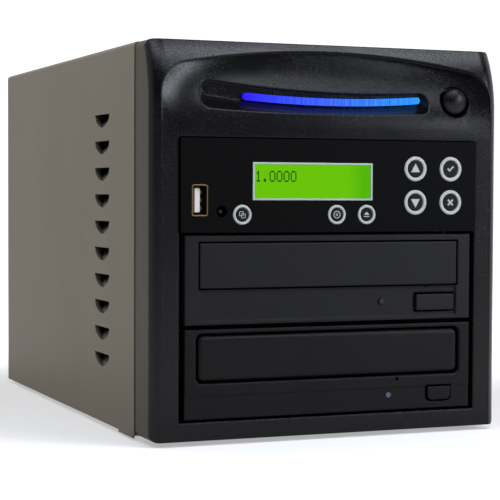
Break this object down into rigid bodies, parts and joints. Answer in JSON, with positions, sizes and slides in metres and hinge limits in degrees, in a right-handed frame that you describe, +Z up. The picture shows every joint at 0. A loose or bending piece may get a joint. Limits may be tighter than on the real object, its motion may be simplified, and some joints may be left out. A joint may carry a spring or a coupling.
{
  "type": "disc duplicator",
  "caption": "Free-standing disc duplicator tower: steel cover, moulded front with light bar, display panel, ringed buttons, USB socket and stacked tray-loading drives.",
  "frame": {"origin": "middle of the overall box, on the floor under the feet", "axes": "+Z up, +Y towards the rear panel, +X to the right seen from the front"},
  "size_m": [0.18, 0.2776, 0.1865],
  "materials": {
    "bezel_plastic": "fine spark texture",
    "blue_light": "clear, lit from behind",
    "circuit_board": "solder mask",
    "button_black": "smooth",
    "inner_plastic": "moulded",
    "cover_steel": "vertical brushed grain",
    "inner_steel": "zinc plated",
    "foot_rubber": "matt",
    "screw_steel": "plated",
    "panel_plastic": "satin",
    "display_border": "satin",
    "display_green": "backlit",
    "ring_pale": "satin",
    "usb_metal": "plated",
    "usb_white": "moulded",
    "status_light": "clear",
    "pin_brass": "plated",
    "fan_plastic": "moulded",
    "upper_drive_plastic": "satin",
    "lower_drive_plastic": "satin",
    "drive_steel": "plated",
    "drive_light": "clear",
    "tray_plastic": "moulded",
    "gear_plastic": "acetal",
    "spindle_metal": "turned",
    "pickup_metal": "die cast"
  },
  "bodies": {
    "case": {"front_bezel": "bezel_plastic", "front_collar": "cover_steel", "light_bar": "blue_light", "light_board": "circuit_board", "power_switch": "inner_plastic", "outer_cover": "cover_steel", "base_chassis": "inner_steel", "bay_bracket": "inner_steel", "rubber_feet": "foot_rubber", "case_screws": "screw_steel", "control_panel": "panel_plastic", "display_frame": "display_border", "display_glass": "display_green", "display_module": "circuit_board", "controller_board": "circuit_board", "controller_bracket": "inner_steel", "button_rings": "ring_pale", "tact_switches": "inner_plastic", "usb_shell": "usb_metal", "usb_tongue": "usb_white", "status_led": "status_light", "psu_case": "inner_steel", "power_inlet": "inner_plastic", "inlet_pins": "pin_brass", "fan_frame": "fan_plastic", "upper_drive_face": "upper_drive_plastic", "upper_drive_housing": "drive_steel", "upper_drive_lid": "drive_steel", "upper_drive_light": "drive_light", "upper_loader_frame": "tray_plastic", "lower_drive_face": "lower_drive_plastic", "lower_drive_housing": "drive_steel", "lower_drive_lid": "drive_steel", "lower_drive_light": "drive_light", "lower_loader_frame": "tray_plastic"},
    "power_cap": {"power_button": "button_black"},
    "rocker": {"rocker_switch": "button_black"},
    "fan_spin": {"fan_rotor": "fan_plastic"},
    "copy_cap": {"copy_button": "button_black"},
    "source_cap": {"source_button": "button_black"},
    "eject_all_cap": {"eject_all_button": "button_black"},
    "up_cap": {"up_button": "button_black"},
    "down_cap": {"down_button": "button_black"},
    "confirm_cap": {"confirm_button": "button_black"},
    "cancel_cap": {"cancel_button": "button_black"},
    "upper_eject": {"upper_eject_button": "upper_drive_plastic"},
    "upper_drawer": {"upper_tray_front": "upper_drive_plastic", "upper_tray": "tray_plastic"},
    "upper_gear": {"upper_loading_gear": "gear_plastic"},
    "upper_mechanism": {"upper_deck": "drive_steel"},
    "upper_hub": {"upper_spindle": "spindle_metal"},
    "upper_sled": {"upper_pickup": "pickup_metal"},
    "lower_eject": {"lower_eject_button": "lower_drive_plastic"},
    "lower_drawer": {"lower_tray_front": "lower_drive_plastic", "lower_tray": "tray_plastic"},
    "lower_gear": {"lower_loading_gear": "gear_plastic"},
    "lower_mechanism": {"lower_deck": "drive_steel"},
    "lower_hub": {"lower_spindle": "spindle_metal"},
    "lower_sled": {"lower_pickup": "pickup_metal"}
  },
  "joints": [
    {"name": "power_press", "type": "slide", "parent": "case", "child": "power_cap", "axis": [0, 1, 0], "range_m": [0, 0.0025], "stiffness_N_per_m": 600},
    {"name": "copy_press", "type": "slide", "parent": "case", "child": "copy_cap", "axis": [0, 1, 0], "range_m": [0, 0.0008], "stiffness_N_per_m": 1500},
    {"name": "source_press", "type": "slide", "parent": "case", "child": "source_cap", "axis": [0, 1, 0], "range_m": [0, 0.0008], "stiffness_N_per_m": 1500},
    {"name": "eject_all_press", "type": "slide", "parent": "case", "child": "eject_all_cap", "axis": [0, 1, 0], "range_m": [0, 0.0008], "stiffness_N_per_m": 1500},
    {"name": "up_press", "type": "slide", "parent": "case", "child": "up_cap", "axis": [0, 1, 0], "range_m": [0, 0.0008], "stiffness_N_per_m": 1500},
    {"name": "down_press", "type": "slide", "parent": "case", "child": "down_cap", "axis": [0, 1, 0], "range_m": [0, 0.0008], "stiffness_N_per_m": 1500},
    {"name": "confirm_press", "type": "slide", "parent": "case", "child": "confirm_cap", "axis": [0, 1, 0], "range_m": [0, 0.0008], "stiffness_N_per_m": 1500},
    {"name": "cancel_press", "type": "slide", "parent": "case", "child": "cancel_cap", "axis": [0, 1, 0], "range_m": [0, 0.0008], "stiffness_N_per_m": 1500},
    {"name": "upper_eject_press", "type": "slide", "parent": "case", "child": "upper_eject", "axis": [0, 1, 0], "range_m": [0, 0.001], "stiffness_N_per_m": 1000},
    {"name": "upper_tray_slide", "type": "slide", "parent": "case", "child": "upper_drawer", "axis": [0, -1, 0], "range_m": [0, 0.135]},
    {"name": "upper_gear_turn", "type": "hinge", "parent": "case", "child": "upper_gear", "pos_m": [-0.04995, -0.11615, 0.078], "axis": [0, 0, 1], "range_deg": [0, 862]},
    {"name": "upper_deck_drop", "type": "hinge", "parent": "case", "child": "upper_mechanism", "pos_m": [0, 0.01285, 0.06742], "axis": [1, 0, 0], "range_deg": [0, 4.1]},
    {"name": "upper_spindle_turn", "type": "hinge", "parent": "upper_mechanism", "child": "upper_hub", "pos_m": [0, -0.06465, 0.06822], "axis": [0, 0, 1], "continuous": true},
    {"name": "upper_sled_slide", "type": "slide", "parent": "upper_mechanism", "child": "upper_sled", "axis": [0, 1, 0], "range_m": [0, 0.032]},
    {"name": "lower_eject_press", "type": "slide", "parent": "case", "child": "lower_eject", "axis": [0, 1, 0], "range_m": [0, 0.001], "stiffness_N_per_m": 1000},
    {"name": "lower_tray_slide", "type": "slide", "parent": "case", "child": "lower_drawer", "axis": [0, -1, 0], "range_m": [0, 0.135]},
    {"name": "lower_gear_turn", "type": "hinge", "parent": "case", "child": "lower_gear", "pos_m": [-0.04995, -0.11615, 0.0348], "axis": [0, 0, 1], "range_deg": [0, 862]},
    {"name": "lower_deck_drop", "type": "hinge", "parent": "case", "child": "lower_mechanism", "pos_m": [0, 0.01285, 0.02422], "axis": [1, 0, 0], "range_deg": [0, 4.1]},
    {"name": "lower_spindle_turn", "type": "hinge", "parent": "lower_mechanism", "child": "lower_hub", "pos_m": [0, -0.06465, 0.02502], "axis": [0, 0, 1], "continuous": true},
    {"name": "lower_sled_slide", "type": "slide", "parent": "lower_mechanism", "child": "lower_sled", "axis": [0, 1, 0], "range_m": [0, 0.032]},
    {"name": "fan_turn", "type": "hinge", "parent": "case", "child": "fan_spin", "pos_m": [0, 0.10985, 0.062], "axis": [0, 1, 0], "continuous": true},
    {"name": "rocker_tilt", "type": "hinge", "parent": "case", "child": "rocker", "pos_m": [-0.0166, 0.13385, 0.16325], "axis": [1, 0, 0], "range_deg": [-16, 0]}
  ],
  "couplings": [
    {"joint": "upper_gear_turn", "follows": "upper_tray_slide", "rad_per_m": 111.11},
    {"joint": "upper_deck_drop", "follows": "upper_tray_slide", "rad_per_m": 0.51714},
    {"joint": "lower_gear_turn", "follows": "lower_tray_slide", "rad_per_m": 111.11},
    {"joint": "lower_deck_drop", "follows": "lower_tray_slide", "rad_per_m": 0.51714}
  ]
}
